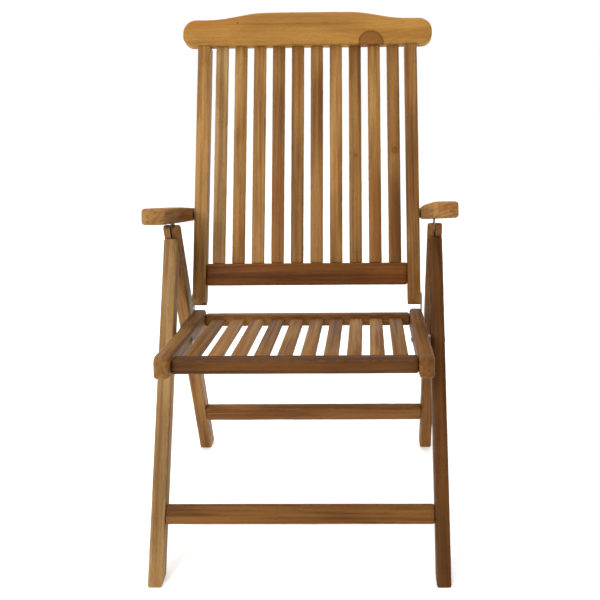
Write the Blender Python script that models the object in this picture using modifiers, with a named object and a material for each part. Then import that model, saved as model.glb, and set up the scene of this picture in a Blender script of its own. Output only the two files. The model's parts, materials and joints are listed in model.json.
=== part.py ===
"""Folding deck chair in teak, modelled piece by piece in its opened-out position.

Frame: +Z up, the sitter faces -Y, X = 0 is the middle plane, and the origin lies on the
ground half way between the front feet and the rearmost edge of the crest rail. 'left' is -X.
Side-view shapes are drawn in a tilted frame, such as a leg or the back: 'along' runs up
the piece from its foot and 'back' is square to it, towards the rear of the chair.
"""
import bpy
import bmesh
from math import acos, atan2, ceil, cos, pi, radians, sin, tan
from mathutils import Matrix, Vector

# ---------------------------------------------------------------- driving dimensions
GAP = 0.0003                # clearance between pieces that touch
EASED = 0.004               # rounding on the edges of the thicker wood
EASED_SLAT = 0.0025         # rounding on the edges of the slats
EASED_ARM = 0.006           # rounding on the edges of the arms and of the seat's side rails
FLATNESS = 0.00012          # how far the flats of a rounded corner may lie from the true arc

FOOT_FRONT_Y = -0.3252      # front edge of the front feet
FOOT_REAR_Y = 0.2134        # front edge of the rear feet
FRONT_LEAN = 27.3           # front legs lean back going up, degrees
REAR_LEAN = -20.0           # rear legs lean forward going up, degrees
LEG_OUTER_X = 0.290
LEG_THICK = 0.028           # across the chair
FRONT_LEG_DEPTH = 0.036
REAR_LEG_DEPTH = 0.043
LEG_BUTT_GAP = 0.0025       # between the front leg's top end and the rear leg
FRONT_LEG_TOP_Z = 0.608
REAR_LEG_TOP_Z = 0.638      # front corner of the rear leg's top
REAR_LEG_TOP_SLOPE = 14.2   # the top falls towards the back, degrees
STRETCHER_THICK = 0.020
FRONT_STRETCHER = (0.1155, 0.1525)  # lower and upper edge along the leg
FRONT_STRETCHER_INSET = 0.0025
REAR_STRETCHER = (0.0988, 0.1378)

SEAT_TILT = 7.3             # the seat falls towards the back, degrees
SEAT_Y = -0.2416            # front end of the slats' top faces
SEAT_Z = 0.4416
SLAT_PITCH = 0.0435
SLAT_WIDE = 0.028
SLAT_COUNT = 10
SEAT_SLAT_THICK = 0.010
SEAT_SLAT_LONG = 0.2965
SEAT_FRONT_RAIL_WIDE = 0.039
SEAT_RAIL_TALL = 0.026
SEAT_REAR_RAIL_WIDE = 0.024
SEAT_REAR_RAIL_RISE = 0.009 # its top above the slats
SIDE_RAIL_OUTER_X = 0.255
SIDE_RAIL_THICK = 0.028
SIDE_RAIL_TOP = 0.012       # above the slats, ahead of the knee
SIDE_RAIL_REAR_TOP = 0.018  # above the slats, behind the knee
SIDE_RAIL_BOTTOM = -0.0308
SIDE_RAIL_FRONT = -0.057    # along the seat from the slats' front ends
SIDE_RAIL_END_TOP = 0.3187
SIDE_RAIL_END_BOTTOM = 0.3409
SEAT_PIVOT_ALONG = 0.4724   # up the front leg
STRAP_LOWER_PIVOT = (0.3057, -0.0068)

BACK_LEAN = 22.7
BACK_Y = 0.0414             # lower front edge of the back frame
BACK_Z = 0.4412
BACK_OUTER_X = 0.2505
UPRIGHT_THICK = 0.028
UPRIGHT_DEPTH = 0.033
CREST_BOTTOM = 0.594        # along the back
CREST_SHOULDER = 0.656
CREST_TOP = 0.6725
CREST_HALF_WIDE = 0.286
CREST_FRONT = -0.003
CREST_THICK = 0.030
BACK_RAIL_BOTTOM = 0.044
BACK_RAIL_TALL = 0.048
BACK_RAIL_FRONT = 0.005
BACK_RAIL_THICK = 0.022
BACK_SLAT_FRONT = 0.008
BACK_SLAT_THICK = 0.011

ARM_TILT = {"left": 12.2, "right": 14.8}  # the arms rise towards the front, degrees
ARM_PIVOT_ALONG = 0.204
ARM_LONG = 0.225            # from the bolt to the front end
ARM_REAR = 0.057            # from the bolt to the rear end
ARM_REAR_HALF_TALL = 0.0135
ARM_FRONT_HALF_TALL = 0.0165
ARM_CROWN = (0.085, 0.0178)  # the gentle hump in the top: how far forward, and its height
ARM_INNER_X = (0.254, 0.2615, 0.2665)    # at the bolt, half way and at the front
ARM_OUTER_X = (0.284, 0.3075, 0.3185)

PLATE_THICK = 0.0026        # steel hinge plates and notched plates
PLATE_SLOT = 0.0038
PLATE_X = 0.274
HINGE_EAR = 0.008
RACK_SPAN = (0.0945, 0.2125)  # the rack in the arm's groove, forwards from the bolt
RACK_TALL = 0.009
GROOVE_WIDE = 0.0046
NOTCH_LINE = -0.0048        # lower edge of the rack below the arm's centre line
NOTCH_DEPTH = 0.005
NOTCH_PITCH = 0.0225
FIRST_NOTCH = 0.1105
NOTCH_COUNT = 5
CATCH_TOP = ((0.016, 0.641), (-0.009, 0.6465))  # (y, z) of the catch's upper corners
NOTCH_PIN_YZ = (0.0113, 0.6156)
PIN_RADIUS = 0.003
BOLT_RADIUS = 0.004
REST_PIN_RADIUS = 0.004
HOLE_PLAY = 0.0004          # radial play of a shank in its hole
STRAP_THICK = 0.0025
STRAP_HALF_WIDE = 0.010
SIDES = {"left": -1, "right": 1}

# ---------------------------------------------------------------- scene and materials
for old in list(bpy.data.objects):
    bpy.data.objects.remove(old, do_unlink=True)
chair = bpy.data.collections.new("folding_deck_chair")
cutters = bpy.data.collections.new("cutters")
bpy.context.scene.collection.children.link(chair)
bpy.context.scene.collection.children.link(cutters)

TEAK_TONES = {
    "teak_gold": (0.52, 0.30, 0.12),
    "teak_brown": (0.40, 0.21, 0.085),
    "teak_red": (0.36, 0.17, 0.075),
    "teak_dark": (0.30, 0.15, 0.065),
}
STEEL_TONE = (0.55, 0.54, 0.51)


def own_material(name, tone, roughness, metallic):
    material = bpy.data.materials.new(name + "_finish")
    material.use_nodes = True
    shader = material.node_tree.nodes["Principled BSDF"]
    shader.inputs["Base Color"].default_value = (*tone, 1.0)
    shader.inputs["Roughness"].default_value = roughness
    shader.inputs["Metallic"].default_value = metallic
    return material


def paint(part, finish):
    """Give a part its own material, teak in one of four tones or steel."""
    if finish == "steel":
        material = own_material(part.name, STEEL_TONE, 0.35, 1.0)
    else:
        material = own_material(part.name, TEAK_TONES[finish], 0.6, 0.0)
    part.data.materials.clear()
    part.data.materials.append(material)


# ---------------------------------------------------------------- side-view geometry
def tilted(origin, lean, along, back):
    """(y, z) of a point measured along and behind a line that leans back by 'lean'."""
    y, z = origin
    slope = radians(lean)
    return (y + along * sin(slope) + back * cos(slope), z + along * cos(slope) - back * sin(slope))


def front_leg(along, back):
    return tilted((FOOT_FRONT_Y, 0.0), FRONT_LEAN, along, back)


def rear_leg(along, back):
    return tilted((FOOT_REAR_Y, 0.0), REAR_LEAN, along, back)


def seat(rearward, up):
    """(y, z) of a point measured rearwards along the slats and up from their top faces."""
    slope = radians(SEAT_TILT)
    return (SEAT_Y + rearward * cos(slope) + up * sin(slope),
            SEAT_Z - rearward * sin(slope) + up * cos(slope))


def back(along, behind):
    return tilted((BACK_Y, BACK_Z), BACK_LEAN, along, behind)


ARM_PIVOT = back(ARM_PIVOT_ALONG, UPRIGHT_DEPTH / 2)


def arm(forward, up, side):
    """(y, z) of a point measured forwards and up from the arm's bolt, in that arm's tilt."""
    slope = radians(ARM_TILT[side])
    y, z = ARM_PIVOT
    return (y - forward * cos(slope) + up * sin(slope), z + forward * sin(slope) + up * cos(slope))


def crossing(a, b, c, d):
    """The point where the line a-b meets the line c-d."""
    ab = (b[0] - a[0], b[1] - a[1])
    cd = (d[0] - c[0], d[1] - c[1])
    share = ((c[0] - a[0]) * cd[1] - (c[1] - a[1]) * cd[0]) / (ab[0] * cd[1] - ab[1] * cd[0])
    return (a[0] + ab[0] * share, a[1] + ab[1] * share)


# The apex hinge stands 9 mm behind the front leg and 8 mm inside the rear leg, so that the
# two legs lie one behind the other when the chair is folded.
HINGE_PIVOT = crossing(front_leg(0, FRONT_LEG_DEPTH + 0.009), front_leg(1, FRONT_LEG_DEPTH + 0.009),
                       rear_leg(0, 0.008), rear_leg(1, 0.008))
SEAT_PIVOT_YZ = front_leg(SEAT_PIVOT_ALONG, FRONT_LEG_DEPTH / 2)
STRAP_LOWER_YZ = seat(*STRAP_LOWER_PIVOT)
STRAP_UPPER_YZ = back(UPRIGHT_DEPTH / 2, UPRIGHT_DEPTH / 2)
REST_PIN_YZ = seat(0.3375, SIDE_RAIL_BOTTOM - GAP - REST_PIN_RADIUS)


# ---------------------------------------------------------------- shape builders
def rounded_outline(corners):
    """Points of a closed outline. A corner is (a, b) or (a, b, radius) for a round one."""
    points = []
    count = len(corners)
    for index, corner in enumerate(corners):
        here = Vector(corner[:2])
        radius = corner[2] if len(corner) > 2 else 0.0
        if radius == 0.0:
            points.append(tuple(here))
            continue
        to_last = (Vector(corners[index - 1][:2]) - here).normalized()
        to_next = (Vector(corners[(index + 1) % count][:2]) - here).normalized()
        half = to_last.angle(to_next) / 2
        centre = here + (to_last + to_next).normalized() * (radius / sin(half))
        start = here + to_last * (radius / tan(half)) - centre
        turn = start.angle_signed(here + to_next * (radius / tan(half)) - centre)
        steps = max(2, ceil(abs(turn) / (2 * acos(1 - FLATNESS / radius))))
        for step in range(steps + 1):
            angle = atan2(start.y, start.x) - turn * step / steps
            points.append((centre.x + radius * cos(angle), centre.y + radius * sin(angle)))
    return points


def mesh_object(name, mesh, matrix, collection):
    part = bpy.data.objects.new(name, mesh)
    part.matrix_world = matrix
    collection.objects.link(part)
    return part


def flat_solid(name, points, thickness, matrix, collection):
    """A filled outline in the local XY plane, thickened along local Z, as a welded mesh."""
    curve = bpy.data.curves.new(name + "_outline", "CURVE")
    curve.dimensions = "2D"
    curve.fill_mode = "BOTH"
    curve.extrude = thickness / 2
    spline = curve.splines.new("POLY")
    spline.points.add(len(points) - 1)
    for point, (a, b) in zip(spline.points, points):
        point.co = (a, b, 0.0, 1.0)
    spline.use_cyclic_u = True
    outline = bpy.data.objects.new(name + "_outline", curve)
    bpy.context.scene.collection.objects.link(outline)
    bpy.context.view_layer.update()
    evaluated = outline.evaluated_get(bpy.context.evaluated_depsgraph_get())
    mesh = bpy.data.meshes.new_from_object(evaluated)
    bpy.data.objects.remove(outline, do_unlink=True)
    mesh.name = name
    shape = bmesh.new()
    shape.from_mesh(mesh)
    bmesh.ops.remove_doubles(shape, verts=shape.verts, dist=0.00001)
    bmesh.ops.dissolve_limit(shape, angle_limit=radians(1), verts=shape.verts, edges=shape.edges)
    bmesh.ops.recalc_face_normals(shape, faces=shape.faces)
    shape.to_mesh(mesh)
    shape.free()
    return mesh_object(name, mesh, matrix, collection)


def side_matrix(x):
    """Puts a local XY outline into the Y-Z plane at x, with its thickness across the chair."""
    return Matrix(((0, 0, 1, x), (1, 0, 0, 0), (0, 1, 0, 0), (0, 0, 0, 1)))


def side_solid(name, corners, x_inner, x_outer, collection=chair):
    middle = (x_inner + x_outer) / 2
    points = rounded_outline(corners)
    return flat_solid(name, points, abs(x_outer - x_inner), side_matrix(middle), collection)


def block(name, size, centre, lean, collection=chair):
    """A box whose local Y and Z axes are turned back by 'lean' about the X axis."""
    mesh = bpy.data.meshes.new(name)
    shape = bmesh.new()
    bmesh.ops.create_cube(shape, size=1.0)
    bmesh.ops.scale(shape, vec=size, verts=shape.verts)
    shape.to_mesh(mesh)
    shape.free()
    matrix = Matrix.Translation(centre) @ Matrix.Rotation(-radians(lean), 4, "X")
    return mesh_object(name, mesh, matrix, collection)


def capsule(name, low, high, half_wide, x_inner, x_outer):
    """A flat link with round ends about two (y, z) points."""
    low = Vector(low)
    high = Vector(high)
    reach = (high - low).normalized() * half_wide
    across = Vector((reach.y, -reach.x))
    ends = (low - reach - across, low - reach + across, high + reach + across, high + reach - across)
    corners = [(end.x, end.y, half_wide * 0.99) for end in ends]
    return side_solid(name, corners, x_inner, x_outer)


def bar(name, frame, lean, x_ends, along_ends, back_ends):
    """A box between two X values, two 'along' values and two 'back' values of a frame."""
    along = sum(along_ends) / 2
    behind = sum(back_ends) / 2
    y, z = frame(along, behind)
    size = (x_ends[1] - x_ends[0], back_ends[1] - back_ends[0], along_ends[1] - along_ends[0])
    return block(name, size, (sum(x_ends) / 2, y, z), lean)


def turned(name, profile, y, z, sign, collection=chair, steps=24):
    """A turned piece on an axis across the chair, from (radius, x) pairs, outermost x first."""
    mesh = bpy.data.meshes.new(name)
    shape = bmesh.new()
    outer = [(0.0, profile[0][1])] + list(profile) + [(0.0, profile[-1][1])]
    verts = [shape.verts.new((radius, 0.0, x)) for radius, x in outer]
    for start, end in zip(verts, verts[1:]):
        shape.edges.new((start, end))
    shape.to_mesh(mesh)
    shape.free()
    matrix = Matrix.Translation((0, y, z)) @ Matrix.Rotation(sign * pi / 2, 4, "Y")
    part = mesh_object(name, mesh, matrix, collection)
    screw = part.modifiers.new("turn", "SCREW")
    screw.steps = steps
    screw.render_steps = steps
    screw.use_merge_vertices = True
    screw.merge_threshold = 0.00005
    screw.use_smooth_shade = True
    return part


def ease(part, width):
    bevel = part.modifiers.new("eased_edges", "BEVEL")
    bevel.width = width
    bevel.segments = 2
    bevel.limit_method = "ANGLE"
    bevel.angle_limit = radians(35)
    return part


def hide_cutter(cutter):
    cutter.hide_render = True
    cutter.display_type = "WIRE"
    return cutter


def cut(part, cutter):
    boolean = part.modifiers.new("cut_" + cutter.name, "BOOLEAN")
    boolean.operation = "DIFFERENCE"
    boolean.solver = "EXACT"
    boolean.object = hide_cutter(cutter)


def drill(part, centre, radius, x_span=(0.20, 0.32)):
    """A round hole across the chair, a little wider than the shank of 'radius' in it."""
    mesh = bpy.data.meshes.new(part.name + "_drill")
    shape = bmesh.new()
    hole = radius + HOLE_PLAY
    bmesh.ops.create_cone(shape, cap_ends=True, segments=24, radius1=hole, radius2=hole,
                          depth=x_span[1] - x_span[0])
    shape.to_mesh(mesh)
    shape.free()
    sign = 1 if part.name.endswith("right") else -1
    turn = Matrix.Rotation(pi / 2, 4, "Y") @ Matrix.Rotation(radians(3), 4, "Z")
    where = Matrix.Translation((sign * sum(x_span) / 2, *centre)) @ turn
    cut(part, mesh_object(mesh.name, mesh, where, cutters))


# ---------------------------------------------------------------- legs
def make_front_leg(side, sign):
    front_line = (front_leg(0, 0), front_leg(1, 0))
    back_line = (front_leg(0, FRONT_LEG_DEPTH), front_leg(1, FRONT_LEG_DEPTH))
    butt_line = (rear_leg(0, -LEG_BUTT_GAP), rear_leg(1, -LEG_BUTT_GAP))
    top_line = ((0, FRONT_LEG_TOP_Z), (1, FRONT_LEG_TOP_Z))
    chamfer_line = ((0, FRONT_LEG_TOP_Z - 0.006), (1, FRONT_LEG_TOP_Z - 0.006))
    corners = [front_leg(0, 0), crossing(*back_line, (0, 0), (1, 0)), crossing(*back_line, *butt_line),
               crossing(*butt_line, *top_line), crossing(*front_line, *chamfer_line)]
    leg = side_solid("front_leg_" + side, corners, sign * (LEG_OUTER_X - LEG_THICK), sign * LEG_OUTER_X)
    ease(leg, EASED)
    slot = block(leg.name + "_slot", (PLATE_SLOT, 0.044, 0.100),
                 (sign * PLATE_X, *front_leg(0.668, 0.030)), FRONT_LEAN, cutters)
    cut(leg, slot)
    drill(leg, SEAT_PIVOT_YZ, BOLT_RADIUS)
    paint(leg, "teak_brown")


def make_rear_leg(side, sign):
    front_line = (rear_leg(0, 0), rear_leg(1, 0))
    back_line = (rear_leg(0, REAR_LEG_DEPTH), rear_leg(1, REAR_LEG_DEPTH))
    top_front = crossing(*front_line, (0, REAR_LEG_TOP_Z), (1, REAR_LEG_TOP_Z))
    fall = radians(REAR_LEG_TOP_SLOPE)
    top_back = crossing(*back_line, top_front, (top_front[0] + cos(fall), top_front[1] - sin(fall)))
    sole_back = crossing(*back_line, (0, 0), (1, 0))
    corners = [rear_leg(0, 0), sole_back, (*top_back, 0.010), (*top_front, 0.008)]
    leg = side_solid("rear_leg_" + side, corners, sign * (LEG_OUTER_X - LEG_THICK), sign * LEG_OUTER_X)
    ease(leg, EASED)
    slot = block(leg.name + "_slot", (PLATE_SLOT, REAR_LEG_DEPTH * 2, 0.130),
                 (sign * PLATE_X, *rear_leg(0.6404, REAR_LEG_DEPTH / 2)), REAR_LEAN, cutters)
    cut(leg, slot)
    drill(leg, HINGE_PIVOT, PIN_RADIUS)
    drill(leg, NOTCH_PIN_YZ, PIN_RADIUS)
    paint(leg, "teak_brown")


def make_stretchers():
    half = LEG_OUTER_X - LEG_THICK - GAP
    front = bar("front_stretcher", front_leg, FRONT_LEAN, (-half, half), FRONT_STRETCHER,
                (FRONT_STRETCHER_INSET, FRONT_STRETCHER_INSET + STRETCHER_THICK))
    rear = bar("rear_stretcher", rear_leg, REAR_LEAN, (-half, half), REAR_STRETCHER, (0.0, STRETCHER_THICK))
    paint(ease(front, EASED), "teak_red")
    paint(ease(rear, EASED), "teak_red")


# ---------------------------------------------------------------- leg hardware
def make_hinge_plate(side, sign):
    """Held in the front leg's slot, with its upper end round the pin in the rear leg."""
    plate = capsule("hinge_plate_" + side, front_leg(0.636, FRONT_LEG_DEPTH / 2), HINGE_PIVOT, HINGE_EAR,
                    sign * (PLATE_X - PLATE_THICK / 2), sign * (PLATE_X + PLATE_THICK / 2))
    drill(plate, HINGE_PIVOT, PIN_RADIUS)
    paint(plate, "steel")


def make_leg_pins(side, sign):
    """The hinge pin, and the catch: a tongue on a cross pin, standing in the leg's slot."""
    outer = LEG_OUTER_X - GAP
    inner = LEG_OUTER_X - LEG_THICK + GAP
    profile = [(PIN_RADIUS, outer), (PIN_RADIUS, inner)]
    paint(turned("hinge_pin_" + side, profile, *HINGE_PIVOT, sign), "steel")
    catch = turned("arm_catch_" + side, profile, *NOTCH_PIN_YZ, sign)
    corners = [rear_leg(0.645, 0.009), rear_leg(0.645, 0.034), (*CATCH_TOP[0], 0.006), (*CATCH_TOP[1], 0.006)]
    tongue = side_solid(catch.name + "_tongue", corners, sign * (PLATE_X - PLATE_THICK / 2),
                        sign * (PLATE_X + PLATE_THICK / 2), cutters)
    join = catch.modifiers.new("tongue", "BOOLEAN")
    join.operation = "UNION"
    join.solver = "EXACT"
    join.object = hide_cutter(tongue)
    paint(catch, "steel")


def make_seat_rest_pin(side, sign):
    """A flanged stub on the rear leg's inner face, under the end of the side rail."""
    face = LEG_OUTER_X - LEG_THICK - GAP
    profile = [(0.0060, face), (0.0060, face - 0.0015), (REST_PIN_RADIUS, face - 0.0015),
               (REST_PIN_RADIUS, 0.2370), (0.0030, 0.2360)]
    paint(turned("seat_rest_pin_" + side, profile, *REST_PIN_YZ, sign), "steel")


# ---------------------------------------------------------------- seat
def make_side_rail(side, sign):
    shape = [(SIDE_RAIL_FRONT, SIDE_RAIL_TOP, 0.014), (0.160, SIDE_RAIL_TOP, 0.030),
             (0.189, SIDE_RAIL_REAR_TOP, 0.030), (SIDE_RAIL_END_TOP, SIDE_RAIL_REAR_TOP, 0.007),
             (SIDE_RAIL_END_BOTTOM, SIDE_RAIL_BOTTOM, 0.0), (SIDE_RAIL_FRONT, SIDE_RAIL_BOTTOM, 0.007)]
    corners = [(*seat(rearward, up), radius) for rearward, up, radius in shape]
    rail = side_solid("seat_rail_" + side, corners, sign * (SIDE_RAIL_OUTER_X - SIDE_RAIL_THICK),
                      sign * SIDE_RAIL_OUTER_X)
    ease(rail, EASED_ARM)
    recess = block(rail.name + "_recess", (0.020, 0.080, 0.080),
                   (sign * (BACK_OUTER_X + 0.010), *seat(0.330, -0.005)), SEAT_TILT, cutters)
    cut(rail, recess)
    drill(rail, SEAT_PIVOT_YZ, BOLT_RADIUS)
    drill(rail, STRAP_LOWER_YZ, PIN_RADIUS, (0.2315, 0.262))
    paint(rail, "teak_brown")


def seat_bar(name, x_ends, rearward_ends, up_ends):
    """A box between two X values, two distances along the seat and two heights off it."""
    y, z = seat(sum(rearward_ends) / 2, sum(up_ends) / 2)
    size = (x_ends[1] - x_ends[0], rearward_ends[1] - rearward_ends[0], up_ends[1] - up_ends[0])
    return block(name, size, (sum(x_ends) / 2, y, z), SEAT_TILT)


def slat_middle(index):
    return (index - (SLAT_COUNT - 1) / 2) * SLAT_PITCH


def make_seat():
    half = SIDE_RAIL_OUTER_X - SIDE_RAIL_THICK - GAP
    front = seat_bar("seat_front_rail", (-half, half), (-SEAT_FRONT_RAIL_WIDE - GAP, -GAP),
                     (-SEAT_RAIL_TALL, 0.0))
    rear_start = SEAT_SLAT_LONG + GAP
    rear = seat_bar("seat_rear_rail", (-half, half), (rear_start, rear_start + SEAT_REAR_RAIL_WIDE),
                    (SEAT_REAR_RAIL_RISE - SEAT_RAIL_TALL, SEAT_REAR_RAIL_RISE))
    paint(ease(front, EASED), "teak_red")
    paint(ease(rear, EASED), "teak_brown")
    for index in range(SLAT_COUNT):
        middle = slat_middle(index)
        slat = seat_bar("seat_slat_%02d" % (index + 1), (middle - SLAT_WIDE / 2, middle + SLAT_WIDE / 2),
                        (0.0, SEAT_SLAT_LONG), (-SEAT_SLAT_THICK, 0.0))
        paint(ease(slat, EASED_SLAT), "teak_gold")


def make_washer(name, centre, radius, x_outer, x_inner, sign):
    washer = turned(name, [(radius, x_outer), (radius, x_inner)], *centre, sign)
    drill(washer, centre, BOLT_RADIUS)
    paint(washer, "steel")


def make_bolt(name, centre, head, end, sign, nut=True):
    """A flat-headed bolt across the chair, from the face under its head to the face at its end."""
    profile = [(0.0055, head + 0.0014), (0.0075, head + 0.0008), (0.0080, head),
               (BOLT_RADIUS, head), (BOLT_RADIUS, end)]
    if nut:
        profile += [(0.0070, end), (0.0070, end - 0.0018), (0.0056, end - 0.0034), (0.0030, end - 0.0044)]
    paint(turned(name, profile, *centre, sign), "steel")


def make_seat_bolt(side, sign):
    """Bolt through the front leg, the washer and the side rail, with its nut inside."""
    make_bolt("seat_bolt_" + side, SEAT_PIVOT_YZ, LEG_OUTER_X + GAP,
              SIDE_RAIL_OUTER_X - SIDE_RAIL_THICK - GAP, sign)
    make_washer("seat_washer_" + side, SEAT_PIVOT_YZ, 0.012, LEG_OUTER_X - LEG_THICK - GAP,
                SIDE_RAIL_OUTER_X + GAP, sign)


# ---------------------------------------------------------------- strap links
def make_strap(side, sign):
    """A flat steel link from the seat's side rail up to the foot of the back's upright."""
    inner = BACK_OUTER_X + 0.0004
    strap = capsule("strap_" + side, STRAP_LOWER_YZ, STRAP_UPPER_YZ, STRAP_HALF_WIDE,
                    sign * inner, sign * (inner + STRAP_THICK))
    drill(strap, STRAP_LOWER_YZ, PIN_RADIUS)
    drill(strap, STRAP_UPPER_YZ, PIN_RADIUS)
    paint(strap, "steel")
    for label, centre in (("lower", STRAP_LOWER_YZ), ("upper", STRAP_UPPER_YZ)):
        profile = [(PIN_RADIUS, inner + STRAP_THICK + GAP), (PIN_RADIUS, 0.2330)]
        paint(turned("strap_%s_pin_%s" % (label, side), profile, *centre, sign), "steel")


# ---------------------------------------------------------------- back
def make_upright(side, sign):
    foot = UPRIGHT_DEPTH / 2 * 0.999
    top = CREST_BOTTOM - GAP
    shape = [(0.0, 0.0, foot), (0.0, UPRIGHT_DEPTH, foot), (top, UPRIGHT_DEPTH, 0.0), (top, 0.0, 0.0)]
    corners = [(*back(along, behind), radius) for along, behind, radius in shape]
    upright = side_solid("back_upright_" + side, corners, sign * (BACK_OUTER_X - UPRIGHT_THICK),
                         sign * BACK_OUTER_X)
    ease(upright, EASED)
    drill(upright, STRAP_UPPER_YZ, PIN_RADIUS, (0.2315, 0.262))
    drill(upright, ARM_PIVOT, BOLT_RADIUS)
    paint(upright, "teak_brown")


def make_crest():
    """The top rail: a raised middle, soft shoulders and rounded ears past the uprights."""
    right = [(CREST_HALF_WIDE, CREST_BOTTOM, 0.024), (CREST_HALF_WIDE, CREST_SHOULDER, 0.030),
             (0.203, CREST_SHOULDER, 0.300), (0.118, CREST_TOP, 0.300)]
    left = [(-x, along, radius) for x, along, radius in reversed(right)]
    y, z = back(0.0, CREST_FRONT + CREST_THICK / 2)
    lean = Matrix.Rotation(-radians(BACK_LEAN), 4, "X") @ Matrix.Rotation(pi / 2, 4, "X")
    crest = flat_solid("crest_rail", rounded_outline(right + left), CREST_THICK,
                       Matrix.Translation((0, y, z)) @ lean, chair)
    paint(ease(crest, 0.005), "teak_gold")


def make_back():
    half = BACK_OUTER_X - UPRIGHT_THICK - GAP
    rail_top = BACK_RAIL_BOTTOM + BACK_RAIL_TALL
    rail = bar("back_bottom_rail", back, BACK_LEAN, (-half, half), (BACK_RAIL_BOTTOM, rail_top),
               (BACK_RAIL_FRONT, BACK_RAIL_FRONT + BACK_RAIL_THICK))
    paint(ease(rail, EASED), "teak_red")
    for index in range(SLAT_COUNT):
        middle = slat_middle(index)
        slat = bar("back_slat_%02d" % (index + 1), back, BACK_LEAN,
                   (middle - SLAT_WIDE / 2, middle + SLAT_WIDE / 2), (rail_top + GAP, CREST_BOTTOM - GAP),
                   (BACK_SLAT_FRONT, BACK_SLAT_FRONT + BACK_SLAT_THICK))
        paint(ease(slat, EASED_SLAT), "teak_brown")


# ---------------------------------------------------------------- arms
def arm_plan_matrix(side):
    """Local X runs forwards along the arm, local Y across the chair and local Z square to both."""
    slope = radians(ARM_TILT[side])
    forward = Vector((0, -cos(slope), sin(slope)))
    across = Vector((1, 0, 0))
    matrix = Matrix((forward, across, forward.cross(across))).transposed().to_4x4()
    matrix.translation = (0, *ARM_PIVOT)
    return matrix


def arm_underside(forward):
    share = (forward + ARM_REAR) / (ARM_LONG + ARM_REAR)
    return -(ARM_REAR_HALF_TALL + (ARM_FRONT_HALF_TALL - ARM_REAR_HALF_TALL) * share)


def make_arm(side, sign):
    past = ARM_LONG + 0.010
    profile = [(-ARM_REAR, -ARM_REAR_HALF_TALL, 0.010), (-ARM_REAR, ARM_REAR_HALF_TALL, 0.010),
               (*ARM_CROWN, 1.500), (past, -arm_underside(past), 0.0), (past, arm_underside(past), 0.0)]
    corners = [(*arm(forward, up, side), radius) for forward, up, radius in profile]
    piece = side_solid("arm_" + side, corners, sign * (ARM_INNER_X[0] - 0.010),
                       sign * (ARM_OUTER_X[2] + 0.010))
    plan = [(-ARM_REAR - 0.010, ARM_INNER_X[0]), (0.030, ARM_INNER_X[0], 0.200),
            (0.130, ARM_INNER_X[1], 0.400), (ARM_LONG, ARM_INNER_X[2], 0.012),
            (ARM_LONG, ARM_OUTER_X[2], 0.014), (0.140, ARM_OUTER_X[1], 0.300),
            (0.030, ARM_OUTER_X[0] + 0.002, 0.200), (-ARM_REAR - 0.010, ARM_OUTER_X[0])]
    points = rounded_outline([(corner[0], sign * corner[1], *corner[2:]) for corner in plan])
    outline = flat_solid(piece.name + "_plan", points, 0.120, arm_plan_matrix(side), cutters)
    trim = piece.modifiers.new("plan_outline", "BOOLEAN")
    trim.operation = "INTERSECT"
    trim.solver = "EXACT"
    trim.object = hide_cutter(outline)
    ease(piece, EASED_ARM)
    roof = NOTCH_LINE + RACK_TALL + GAP
    groove = block(piece.name + "_groove", (GROOVE_WIDE, RACK_SPAN[1] - RACK_SPAN[0] + 0.001, 0.040),
                   (sign * PLATE_X, *arm(sum(RACK_SPAN) / 2, roof - 0.020, side)), ARM_TILT[side], cutters)
    cut(piece, groove)
    drill(piece, ARM_PIVOT, BOLT_RADIUS)
    paint(piece, "teak_gold")


def make_notched_plate(side, sign):
    """A steel rack in the groove under the arm; its notches drop over the catch in the rear leg."""
    rear, front = RACK_SPAN
    top = NOTCH_LINE + RACK_TALL
    outline = [(front, top), (rear, top), (rear, NOTCH_LINE)]
    for index in range(NOTCH_COUNT):
        middle = FIRST_NOTCH + index * NOTCH_PITCH
        for step in range(7):
            swing = pi * step / 6
            outline.append((middle - NOTCH_DEPTH * cos(swing), NOTCH_LINE + NOTCH_DEPTH * sin(swing)))
    outline.append((front, NOTCH_LINE))
    points = [arm(forward, up, side) for forward, up in outline]
    plate = flat_solid("notched_plate_" + side, points, PLATE_THICK, side_matrix(sign * PLATE_X), chair)
    paint(plate, "steel")


def make_arm_bolt(side, sign):
    """Bolt through the arm, the washer and the upright, cut off just short of its inner face."""
    make_bolt("arm_bolt_" + side, ARM_PIVOT, ARM_OUTER_X[0] + 0.0018,
              BACK_OUTER_X - UPRIGHT_THICK + 0.0005, sign, nut=False)
    make_washer("arm_washer_" + side, ARM_PIVOT, 0.011, ARM_INNER_X[0] - GAP, BACK_OUTER_X + GAP, sign)


# ---------------------------------------------------------------- assembly
def hang_on(name, centre, x, beginnings, parent=None):
    """An empty at a joint, with every part whose name starts in one of the given ways on it."""
    empty = bpy.data.objects.new(name, None)
    chair.objects.link(empty)
    empty.matrix_world = Matrix.Translation((x, *centre))
    bpy.context.view_layer.update()
    parts = [part for part in chair.objects if part.type != "EMPTY" and part.name.startswith(beginnings)]
    for part in parts:
        part.parent = empty
        part.matrix_parent_inverse = empty.matrix_world.inverted()
    if parent:
        empty.parent = parent
        empty.matrix_parent_inverse = parent.matrix_world.inverted()
    return empty


for side_name, side_sign in SIDES.items():
    make_front_leg(side_name, side_sign)
    make_rear_leg(side_name, side_sign)
    make_hinge_plate(side_name, side_sign)
    make_leg_pins(side_name, side_sign)
    make_seat_rest_pin(side_name, side_sign)
    make_side_rail(side_name, side_sign)
    make_seat_bolt(side_name, side_sign)
    make_strap(side_name, side_sign)
    make_upright(side_name, side_sign)
    make_arm(side_name, side_sign)
    make_notched_plate(side_name, side_sign)
    make_arm_bolt(side_name, side_sign)
make_stretchers()
make_seat()
make_crest()
make_back()
bpy.context.view_layer.update()

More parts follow.
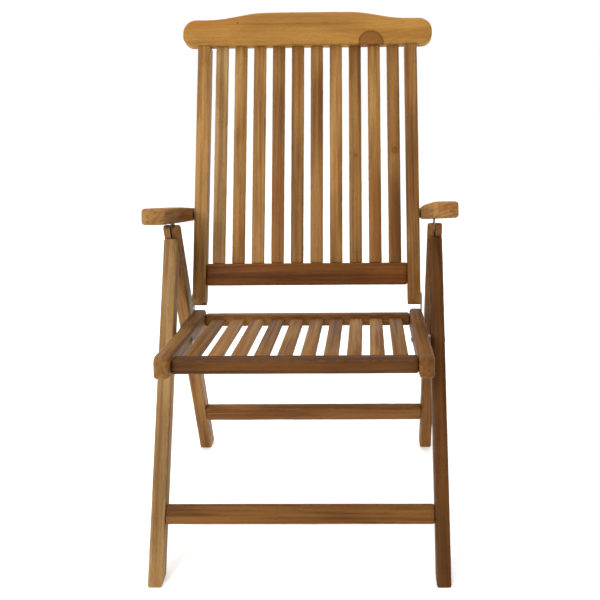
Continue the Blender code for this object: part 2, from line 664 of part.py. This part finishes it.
# Each moving body hangs from an empty on its joint's axis.
rear_frame = hang_on("leg_hinge", HINGE_PIVOT, 0.0, ("rear_", "hinge_pin", "arm_catch", "seat_rest_pin"))
whole_seat = hang_on("seat_hinge", SEAT_PIVOT_YZ, 0.0,
                     ("seat_rail", "seat_front", "seat_rear", "seat_slat", "strap_lower"))
straps = hang_on("strap_hinge", STRAP_LOWER_YZ, 0.0, ("strap_left", "strap_right", "strap_upper"),
                 whole_seat)
whole_back = hang_on("back_hinge", STRAP_UPPER_YZ, 0.0, ("back_", "crest_"), straps)
for side_name, side_sign in SIDES.items():
    hang_on("arm_hinge_" + side_name, ARM_PIVOT, side_sign * ARM_INNER_X[0],
            tuple(kind + side_name for kind in ("arm_", "arm_bolt_", "arm_washer_", "notched_plate_")),
            whole_back)
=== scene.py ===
"""Looks of the folding deck chair: oiled teak boards, dull steel fittings, pale studio.

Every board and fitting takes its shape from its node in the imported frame. A board is then
worked over: it gets axes of its own with Z along the grain, finer edges, and the slight
waviness of sawn and sanded wood, and its teak is a procedural material in those axes.
"""
import json
import bpy
import bmesh
from math import cos, pi, radians, sin
from mathutils import Matrix, Vector, noise


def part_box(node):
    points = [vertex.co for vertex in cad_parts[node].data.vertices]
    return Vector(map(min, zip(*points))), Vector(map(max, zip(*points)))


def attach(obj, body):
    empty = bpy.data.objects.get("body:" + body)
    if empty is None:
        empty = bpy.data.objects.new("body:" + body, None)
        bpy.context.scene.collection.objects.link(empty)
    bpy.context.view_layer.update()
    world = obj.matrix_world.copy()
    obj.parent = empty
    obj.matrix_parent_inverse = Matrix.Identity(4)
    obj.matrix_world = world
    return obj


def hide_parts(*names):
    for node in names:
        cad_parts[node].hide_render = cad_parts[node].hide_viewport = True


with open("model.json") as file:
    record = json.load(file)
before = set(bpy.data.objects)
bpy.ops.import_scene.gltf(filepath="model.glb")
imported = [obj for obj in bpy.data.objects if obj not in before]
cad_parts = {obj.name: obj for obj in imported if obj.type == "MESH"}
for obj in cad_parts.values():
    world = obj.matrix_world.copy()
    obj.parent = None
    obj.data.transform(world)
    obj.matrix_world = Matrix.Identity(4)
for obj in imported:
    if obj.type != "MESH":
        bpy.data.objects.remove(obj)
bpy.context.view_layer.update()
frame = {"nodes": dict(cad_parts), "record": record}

# ---------------------------------------------------------------- camera
CAMERA_PLACE = Vector((0.136, -1.7185, 1.0597))
CAMERA_YAW = radians(-1.1)
CAMERA_PITCH = radians(14.4)
CAMERA_ROLL = radians(-0.7)
CAMERA_LENS = 51.0          # mm on a 36 mm sensor
CAMERA_SHIFT = (-0.0868, -0.1160)

# ---------------------------------------------------------------- light
FRONT_GLOW = 0.30           # how bright the studio is in front of the chair
REAR_GLOW = 1.05            # and behind it
FLOOR_GLOW = 0.36
FLOOR_HALF_WIDE = 30.0
# name: (place, what it is aimed at, size, watts)
LIGHTS = {
    "overhead": ((-0.3, 0.5, 3.2), (0.0, 0.2, 0.0), 2.4, 48.0),
    "key": ((-1.6, -2.8, 2.2), (0.0, 0.0, 0.5), 1.4, 72.0),
}

# ---------------------------------------------------------------- how the boards lie
# Turn about X, in degrees, that lays a board's length along Z, and which way its grain runs.
FRONT_LEG_LEAN = 27.3
REAR_LEG_LEAN = -20.0
BACK_LEAN = 22.7
SEAT_FALL = 7.3
ARM_RISE = {"left": 12.2, "right": 14.8}

# ---------------------------------------------------------------- teak tones
# (pale wood between the darker growth rings, dark wood in them), as linear colours.
TONES = {
    "golden": ((0.410, 0.205, 0.040), (0.235, 0.095, 0.014)),
    "honey": ((0.400, 0.210, 0.060), (0.190, 0.080, 0.018)),
    "brown": ((0.320, 0.158, 0.042), (0.140, 0.055, 0.012)),
    "nut": ((0.245, 0.120, 0.030), (0.115, 0.045, 0.009)),
    "russet": ((0.235, 0.098, 0.020), (0.105, 0.037, 0.006)),
    "chestnut": ((0.175, 0.070, 0.013), (0.080, 0.027, 0.004)),
    "tan": ((0.400, 0.240, 0.090), (0.200, 0.098, 0.030)),
    "mahogany": ((0.205, 0.070, 0.009), (0.092, 0.027, 0.003)),
    "umber": ((0.142, 0.053, 0.009), (0.060, 0.020, 0.003)),
}
BACK_SLAT_TONES = ("tan", "honey", "honey", "brown", "brown", "brown", "honey", "brown", "honey", "brown")
SEAT_SLAT_TONES = ("nut", "brown", "brown", "nut", "brown", "brown", "nut", "brown", "brown", "nut")
TONE_OF = {
    "crest_rail": "golden", "back_bottom_rail": "mahogany", "seat_front_rail": "umber",
    "seat_rear_rail": "russet", "front_stretcher": "russet", "rear_stretcher": "russet",
    # The right front leg's dark umber is painted shade: it is much darker than the left leg's tan to stand
    # for light falling from the left.
    "front_leg_left": "tan", "front_leg_right": "umber", "rear_leg_left": "brown",
    "rear_leg_right": "russet", "seat_rail_left": "nut", "seat_rail_right": "chestnut",
    "back_upright_left": "honey", "back_upright_right": "brown", "arm_left": "brown", "arm_right": "honey",
}
for number in range(10):
    TONE_OF["back_slat_%02d" % (number + 1)] = BACK_SLAT_TONES[number]
    TONE_OF["seat_slat_%02d" % (number + 1)] = SEAT_SLAT_TONES[number]

# Knots as ((x, y, z), radius) in a board's own axes, and the brown inside them.
KNOTS = {
    "crest_rail": (((0.0375, 0.0, 0.146), 0.034), ((-0.013, 0.0, -0.160), 0.0038)),
    "back_slat_08": (((0.001, 0.0, -0.008), 0.0060),),
    "back_slat_10": (((0.002, 0.0, 0.004), 0.0080),),
}
KNOT_BROWN = (0.195, 0.066, 0.009)

# ---------------------------------------------------------------- figure of the wood
RING_SPACING = 0.0075
PITH_DISTANCE = 0.070       # from the middle of a board
CALM_LINES = 0.5            # the golden board shows its rings and streaks this much
# how much each part of the figure darkens the wood
RING_SHADE = 0.24
STREAK_SHADE = 0.60
BAND_SHADE = 0.34
CLOUD_SHADE = 0.55
FIBRE_SHADE = 0.25

# ---------------------------------------------------------------- sawn and sanded surface
SLICE = 0.012               # a board is cut across at these steps, so that it can wave
EASED_EDGE = 0.0045         # faces narrower than this belong to an eased edge
WAVE = 0.00022
RIPPLE = 0.00014

# ---------------------------------------------------------------- steel
STEEL = (0.30, 0.28, 0.25)
# The darker steel is painted shade: the washer, hinge plate and notched plate sit in gaps and slots between
# the wood, and their colour is darkened to stand for the shade there.
PAINTED_SHADE_STEEL = (0.10, 0.080, 0.055)
FITTINGS_IN_PAINTED_SHADE = ("arm_washer", "hinge_plate", "notched_plate")

BODY_OF = {node: body for body, nodes in frame["record"]["behaviour"]["bodies"].items() for node in nodes}


# ---------------------------------------------------------------- shader helpers
class Shader:
    """A material's node tree, with short ways to add and join the nodes used here."""

    def __init__(self, name):
        self.material = bpy.data.materials.new(name)
        self.material.use_nodes = True
        self.tree = self.material.node_tree
        self.surface = self.tree.nodes["Principled BSDF"]

    def add(self, kind, inputs=(), **settings):
        node = self.tree.nodes.new(kind)
        for key, value in settings.items():
            setattr(node, key, value)
        for socket, value in dict(inputs).items():
            self.feed(node.inputs[socket], value)
        return node

    def feed(self, socket, value):
        if isinstance(value, bpy.types.NodeSocket):
            self.tree.links.new(value, socket)
        else:
            socket.default_value = value

    def math(self, operation, a, b=0.0, c=0.0, clamp=False):
        node = self.add("ShaderNodeMath", {0: a, 1: b, 2: c}, operation=operation, use_clamp=clamp)
        return node.outputs[0]

    def vector(self, operation, a, b):
        return self.add("ShaderNodeVectorMath", {0: a, 1: b}, operation=operation).outputs[0]

    def length(self, vector):
        return self.add("ShaderNodeVectorMath", {0: vector}, operation="LENGTH").outputs["Value"]

    def shifted(self, vector, shift):
        return self.add("ShaderNodeMapping", {"Vector": vector, "Location": shift}).outputs["Vector"]

    def noise(self, vector, scale, detail=3.0, roughness=0.55):
        inputs = {"Vector": vector, "Scale": scale, "Detail": detail, "Roughness": roughness}
        return self.add("ShaderNodeTexNoise", inputs).outputs["Fac"]

    def stretched(self, vector, size):
        return self.add("ShaderNodeMapping", {"Vector": vector, "Scale": size}).outputs["Vector"]

    def ramp(self, value, low, high):
        """0 below low, 1 above high and smooth between them."""
        inputs = {"Value": value, "From Min": low, "From Max": high}
        return self.add("ShaderNodeMapRange", inputs, interpolation_type="SMOOTHSTEP").outputs["Result"]

    def mix(self, amount, a, b, blend="MIX"):
        node = self.add("ShaderNodeMix", data_type="RGBA", blend_type=blend)
        self.feed(node.inputs["Factor"], amount)
        self.feed(node.inputs["A"], a if isinstance(a, bpy.types.NodeSocket) else (*a, 1.0))
        self.feed(node.inputs["B"], b if isinstance(b, bpy.types.NodeSocket) else (*b, 1.0))
        return node.outputs["Result"]


def teak(name, tone, seed, knots=()):
    """Oiled teak with its grain along the object's Z axis, bending round its knots."""
    pale, dark = TONES[tone]
    shader = Shader(name + "_teak")
    place = shader.add("ShaderNodeTexCoord").outputs["Object"]
    shift = (0.31 * seed, 0.17 * seed, 0.83 * seed)
    moved = shader.shifted(place, shift)

    # growth rings round a pith that lies a few centimetres off the board
    angle = seed * 2.4
    pith = (PITH_DISTANCE * cos(angle), PITH_DISTANCE * sin(angle), 0.0)
    across = shader.vector("ADD", place, pith)
    reach = shader.length(shader.vector("MULTIPLY", across, (1.0, 1.0, 0.0)))
    wander = shader.noise(shader.stretched(moved, (9.0, 9.0, 1.7)), 1.0, 2.0)
    reach = shader.math("MULTIPLY_ADD", wander, 0.035, reach)
    distances = []
    for centre, radius in knots:
        offset = shader.vector("SUBTRACT", place, centre)
        near = shader.length(shader.vector("MULTIPLY", offset, (1.0, 0.15, 1.0)))
        near = shader.math("MULTIPLY_ADD", shader.noise(moved, 60.0, 3.0), 0.24 * radius, near)
        pull = shader.math("SUBTRACT", 1.0, shader.ramp(near, radius, radius * 3.4))
        reach = shader.math("MULTIPLY_ADD", pull, 0.32 * radius, reach)
        distances.append((near, radius))
    rings = shader.math("SINE", shader.math("MULTIPLY", reach, 2 * pi / RING_SPACING))
    rings = shader.math("MULTIPLY_ADD", rings, 0.5, 0.5)
    rings = shader.math("POWER", rings, 1.7)

    # long streaks, fibres and pores
    streaks = shader.noise(shader.stretched(moved, (120.0, 120.0, 3.0)), 1.0, 4.0, 0.6)
    bands = shader.noise(shader.stretched(moved, (45.0, 45.0, 1.6)), 1.0, 2.0, 0.5)
    fibres = shader.noise(shader.stretched(moved, (900.0, 900.0, 14.0)), 1.0, 3.0, 0.7)
    pores = shader.noise(shader.stretched(moved, (1500.0, 1500.0, 90.0)), 1.0, 1.0)
    pores = shader.ramp(pores, 0.62, 0.70)
    clouds = shader.noise(shader.stretched(moved, (16.0, 16.0, 4.0)), 1.0, 3.0)

    lines = CALM_LINES if tone == "golden" else 1.0
    depth = shader.math("MULTIPLY", rings, RING_SHADE * lines)
    depth = shader.math("MULTIPLY_ADD", shader.ramp(streaks, 0.34, 0.66), STREAK_SHADE * lines, depth)
    depth = shader.math("MULTIPLY_ADD", shader.ramp(bands, 0.36, 0.64), BAND_SHADE, depth)
    depth = shader.math("MULTIPLY_ADD", shader.ramp(clouds, 0.36, 0.66), CLOUD_SHADE, depth)
    depth = shader.math("MULTIPLY_ADD", fibres, FIBRE_SHADE, depth)
    depth = shader.math("SUBTRACT", depth, 0.28 + 0.18 * lines, clamp=True)
    colour = shader.mix(depth, pale, dark)
    red_patches = shader.ramp(shader.noise(shader.stretched(moved, (26.0, 26.0, 2.2)), 1.0, 2.0), 0.52, 0.74)
    colour = shader.mix(shader.math("MULTIPLY", red_patches, 0.45), colour,
                        tuple(value * share for value, share in zip(dark, (1.55, 1.20, 1.05))))
    colour = shader.mix(shader.math("MULTIPLY", pores, 0.50), colour, tuple(value * 0.45 for value in dark))
    bark_colour = tuple(value * 0.32 for value in dark)
    for near, radius in distances:
        core = shader.math("SUBTRACT", 1.0, shader.ramp(near, radius * 0.92, radius * 1.04))
        colour = shader.mix(shader.math("MULTIPLY", core, 0.75), colour, KNOT_BROWN)
        bark = shader.math("MULTIPLY", core, shader.ramp(near, radius * 0.80, radius * 0.95))
        colour = shader.mix(shader.math("MULTIPLY", bark, 0.60), colour, bark_colour)

    # edges rubbed paler where they are handled
    edge = shader.add("ShaderNodeAttribute", attribute_name="edge").outputs["Fac"]
    rubbed = shader.ramp(shader.noise(moved, 55.0, 3.0), 0.40, 0.66)
    worn = shader.math("MULTIPLY", shader.math("MULTIPLY", edge, rubbed), 0.45)
    colour = shader.mix(worn, colour, tuple(min(1.0, value * 1.12 + 0.03) for value in pale))

    shader.feed(shader.surface.inputs["Base Color"], colour)
    rough = shader.math("MULTIPLY_ADD", streaks, 0.18, 0.44)
    rough = shader.math("MULTIPLY_ADD", worn, 0.20, rough)
    shader.feed(shader.surface.inputs["Roughness"], rough)
    shader.surface.inputs["Specular IOR Level"].default_value = 0.14
    relief = shader.math("MULTIPLY_ADD", pores, -0.8, fibres)
    relief = shader.math("MULTIPLY_ADD", rings, 0.4, relief)
    bump = shader.add("ShaderNodeBump", {"Strength": 0.30, "Distance": 0.0004, "Height": relief})
    shader.feed(shader.surface.inputs["Normal"], bump.outputs["Normal"])
    return shader.material


def steel(name, colour, seed):
    """Zinc-plated steel, a little dulled outdoors, with fine scratches."""
    shader = Shader(name + "_steel")
    place = shader.add("ShaderNodeTexCoord").outputs["Object"]
    moved = shader.shifted(place, (seed, 0.3 * seed, 0.0))
    dull = shader.ramp(shader.noise(moved, 160.0, 5.0, 0.65), 0.38, 0.68)
    scratches = shader.noise(shader.stretched(moved, (300.0, 2600.0, 420.0)), 1.0, 2.0)
    tint = tuple(value * 0.52 for value in colour)
    shader.feed(shader.surface.inputs["Base Color"], shader.mix(dull, colour, tint))
    shader.surface.inputs["Metallic"].default_value = 1.0
    rough = shader.math("MULTIPLY_ADD", dull, 0.22, 0.28)
    shader.feed(shader.surface.inputs["Roughness"], shader.math("MULTIPLY_ADD", scratches, 0.12, rough))
    bump = shader.add("ShaderNodeBump", {"Strength": 0.20, "Distance": 0.0002, "Height": scratches})
    shader.feed(shader.surface.inputs["Normal"], bump.outputs["Normal"])
    return shader.material


# ---------------------------------------------------------------- shaping
def board_axes(node):
    """Rotation of a board's own axes: Z along the grain, Y square to its front or top face."""
    across_grain = Matrix.Rotation(pi / 2, 3, "Y")
    lengthwise = Matrix.Rotation(pi / 2, 3, "X")
    if node.startswith("front_leg"):
        return Matrix.Rotation(radians(-FRONT_LEG_LEAN), 3, "X")
    if node.startswith("rear_leg"):
        return Matrix.Rotation(radians(-REAR_LEG_LEAN), 3, "X")
    if node.startswith(("back_upright", "back_slat")):
        return Matrix.Rotation(radians(-BACK_LEAN), 3, "X")
    if node.startswith(("seat_rail", "seat_slat")):
        return Matrix.Rotation(radians(-SEAT_FALL), 3, "X") @ lengthwise
    if node.startswith("arm_"):
        return Matrix.Rotation(radians(-ARM_RISE[node[4:]]), 3, "X") @ lengthwise
    leans = {"crest_rail": BACK_LEAN, "back_bottom_rail": BACK_LEAN, "front_stretcher": FRONT_LEG_LEAN,
             "rear_stretcher": REAR_LEG_LEAN, "seat_front_rail": SEAT_FALL, "seat_rear_rail": SEAT_FALL}
    return Matrix.Rotation(radians(-leans[node]), 3, "X") @ across_grain


def copy_shape(node, rotation):
    """A new mesh with the node's shape, in axes of its own at the node's middle."""
    low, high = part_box(node)
    middle = (Vector(low) + Vector(high)) / 2
    place = Matrix.Translation(middle) @ rotation.to_4x4()
    shape = bmesh.new()
    shape.from_mesh(frame["nodes"][node].data)
    bmesh.ops.transform(shape, matrix=place.inverted(), verts=shape.verts)
    bmesh.ops.remove_doubles(shape, verts=shape.verts, dist=0.00001)
    bmesh.ops.dissolve_limit(shape, angle_limit=radians(0.5), verts=shape.verts, edges=shape.edges)
    return shape, place


def piece_from(shape, place, node, material):
    mesh = bpy.data.meshes.new(node + "_look")
    shape.to_mesh(mesh)
    shape.free()
    mesh.shade_smooth()
    mesh.set_sharp_from_angle(angle=radians(38))
    mesh.materials.append(material)
    piece = bpy.data.objects.new(node + "_look", mesh)
    piece.matrix_world = place
    bpy.context.scene.collection.objects.link(piece)
    bpy.context.view_layer.update()
    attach(piece, BODY_OF[node])
    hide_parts(node)
    return piece


def narrow(face, width):
    return face.calc_area() / face.calc_perimeter() < width / 2


def make_board(node, seed):
    """A board with edge wear marked on it and the faint waviness of sanded wood."""
    shape, place = copy_shape(node, board_axes(node))
    reach = [vert.co.z for vert in shape.verts]
    count = int((max(reach) - min(reach)) / SLICE)
    for index in range(1, count):
        level = min(reach) + index * SLICE
        geometry = list(shape.verts) + list(shape.edges) + list(shape.faces)
        bmesh.ops.bisect_plane(shape, geom=geometry, dist=0.00002, plane_co=(0, 0, level), plane_no=(0, 0, 1))
    edge_layer = shape.verts.layers.float.new("edge")
    for vert in shape.verts:
        vert[edge_layer] = 1.0 if all(narrow(face, EASED_EDGE) for face in vert.link_faces) else 0.0
    shape.normal_update()
    drift = Vector((7.3 * seed, 3.1 * seed, 0.0))
    for vert in shape.verts:
        wave = noise.noise(Vector((vert.co.x * 20, vert.co.y * 20, vert.co.z * 14)) + drift)
        ripple = noise.noise(Vector((vert.co.x * 60, vert.co.y * 60, vert.co.z * 55)) + drift)
        vert.co += vert.normal * (WAVE * wave + RIPPLE * ripple * (1.0 + 1.5 * vert[edge_layer]))
    return piece_from(shape, place, node, teak(node, TONE_OF[node], seed, KNOTS.get(node, ())))


def make_fitting(node, seed):
    shape, place = copy_shape(node, Matrix.Identity(3))
    # Fittings in gaps and slots take the darker steel, which is painted shade.
    colour = PAINTED_SHADE_STEEL if node.startswith(FITTINGS_IN_PAINTED_SHADE) else STEEL
    return piece_from(shape, place, node, steel(node, colour, seed))


# ---------------------------------------------------------------- studio
def make_camera():
    ahead = Vector((sin(CAMERA_YAW) * cos(CAMERA_PITCH), cos(CAMERA_YAW) * cos(CAMERA_PITCH),
                    -sin(CAMERA_PITCH)))
    level = Vector((cos(CAMERA_YAW), -sin(CAMERA_YAW), 0.0))
    upright = level.cross(ahead)
    right = level * cos(CAMERA_ROLL) + upright * sin(CAMERA_ROLL)
    up = upright * cos(CAMERA_ROLL) - level * sin(CAMERA_ROLL)
    data = bpy.data.cameras.new("camera")
    data.lens = CAMERA_LENS
    data.sensor_width = 36.0
    data.shift_x, data.shift_y = CAMERA_SHIFT
    camera = bpy.data.objects.new("camera", data)
    turn = Matrix((right, up, -ahead)).transposed().to_4x4()
    camera.matrix_world = Matrix.Translation(CAMERA_PLACE) @ turn
    bpy.context.scene.collection.objects.link(camera)
    bpy.context.scene.camera = camera


def make_floor():
    mesh = bpy.data.meshes.new("floor")
    shape = bmesh.new()
    bmesh.ops.create_grid(shape, x_segments=1, y_segments=1, size=FLOOR_HALF_WIDE)
    shape.to_mesh(mesh)
    shape.free()
    shader = Shader("floor_white")
    shader.surface.inputs["Base Color"].default_value = (0.95, 0.95, 0.95, 1.0)
    shader.surface.inputs["Roughness"].default_value = 0.9
    shader.surface.inputs["Emission Color"].default_value = (1.0, 1.0, 1.0, 1.0)
    shader.surface.inputs["Emission Strength"].default_value = FLOOR_GLOW
    mesh.materials.append(shader.material)
    floor = bpy.data.objects.new("floor", mesh)
    bpy.context.scene.collection.objects.link(floor)


def make_light(name, place, aim, size, watts):
    data = bpy.data.lights.new(name, "AREA")
    data.size = size
    data.energy = watts
    light = bpy.data.objects.new(name, data)
    light.location = place
    light.rotation_euler = (Vector(aim) - Vector(place)).to_track_quat("-Z", "Y").to_euler()
    bpy.context.scene.collection.objects.link(light)


def make_studio():
    """Soft light all round, brightest behind the chair, and a key light from the front left."""
    world = bpy.data.worlds.new("studio")
    world.use_nodes = True
    nodes = world.node_tree.nodes
    join = world.node_tree.links.new
    direction = nodes.new("ShaderNodeTexCoord").outputs["Generated"]
    parts = nodes.new("ShaderNodeSeparateXYZ")
    join(direction, parts.inputs["Vector"])
    fade = nodes.new("ShaderNodeMapRange")
    fade.inputs["From Min"].default_value = -0.25
    fade.inputs["From Max"].default_value = 0.35
    fade.inputs["To Min"].default_value = FRONT_GLOW
    fade.inputs["To Max"].default_value = REAR_GLOW
    join(parts.outputs["Y"], fade.inputs["Value"])
    join(fade.outputs["Result"], nodes["Background"].inputs["Strength"])
    nodes["Background"].inputs["Color"].default_value = (1.0, 1.0, 1.0, 1.0)
    bpy.context.scene.world = world
    bpy.context.scene.view_settings.view_transform = "Standard"
    for name, (place, aim, size, watts) in LIGHTS.items():
        make_light(name, place, aim, size, watts)


make_camera()
make_studio()
make_floor()
for order, node_name in enumerate(sorted(BODY_OF)):
    if node_name in TONE_OF:
        make_board(node_name, order + 1)
    else:
        make_fitting(node_name, order + 1)
